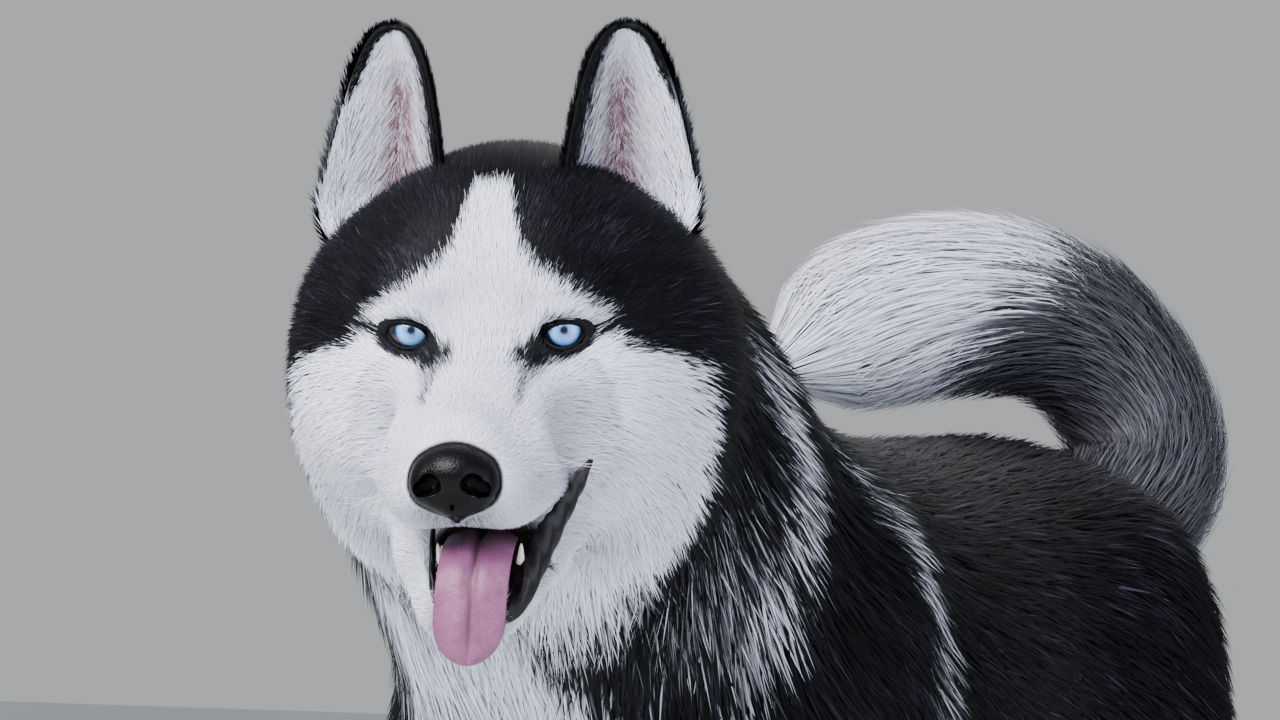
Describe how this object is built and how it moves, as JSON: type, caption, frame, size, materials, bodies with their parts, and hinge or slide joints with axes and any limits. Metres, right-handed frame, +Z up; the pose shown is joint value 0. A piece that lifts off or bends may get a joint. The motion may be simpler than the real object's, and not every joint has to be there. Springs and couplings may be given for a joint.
{
  "type": "siberian husky",
  "caption": "Life-size still model of a black and white spitz-type sled dog standing with its head turned, mouth open and brush tail curled over the back.",
  "frame": {"origin": "on the floor below the middle of the model's box", "axes": "+Z up, the dog faces -Y and its own left side is +X"},
  "size_m": [0.2828, 0.948, 0.7624],
  "materials": {
    "dark_coat": "dense double coat, black guard hair with a soft sheen",
    "white_coat": "dense double coat, white hair",
    "nose": "moist pebbled black nose skin, claws and lips",
    "tongue": "wet pink tongue",
    "eye": "wet eyeball with pale blue iris"
  },
  "bodies": {
    "root": {"head": "dark_coat", "ear_left": "dark_coat", "ear_right": "dark_coat", "neck": "dark_coat", "chest": "dark_coat", "loin": "dark_coat", "tail_base": "dark_coat", "tail_middle": "dark_coat", "thigh_left": "dark_coat", "thigh_right": "dark_coat", "jaw": "white_coat", "tail_tip": "white_coat", "foreleg_left": "white_coat", "foreleg_right": "white_coat", "forepaw_left": "white_coat", "forepaw_right": "white_coat", "shank_left": "white_coat", "shank_right": "white_coat", "hindpaw_left": "white_coat", "hindpaw_right": "white_coat", "nose": "nose", "tongue": "tongue", "eye_left": "eye", "eye_right": "eye"}
  },
  "joints": []
}
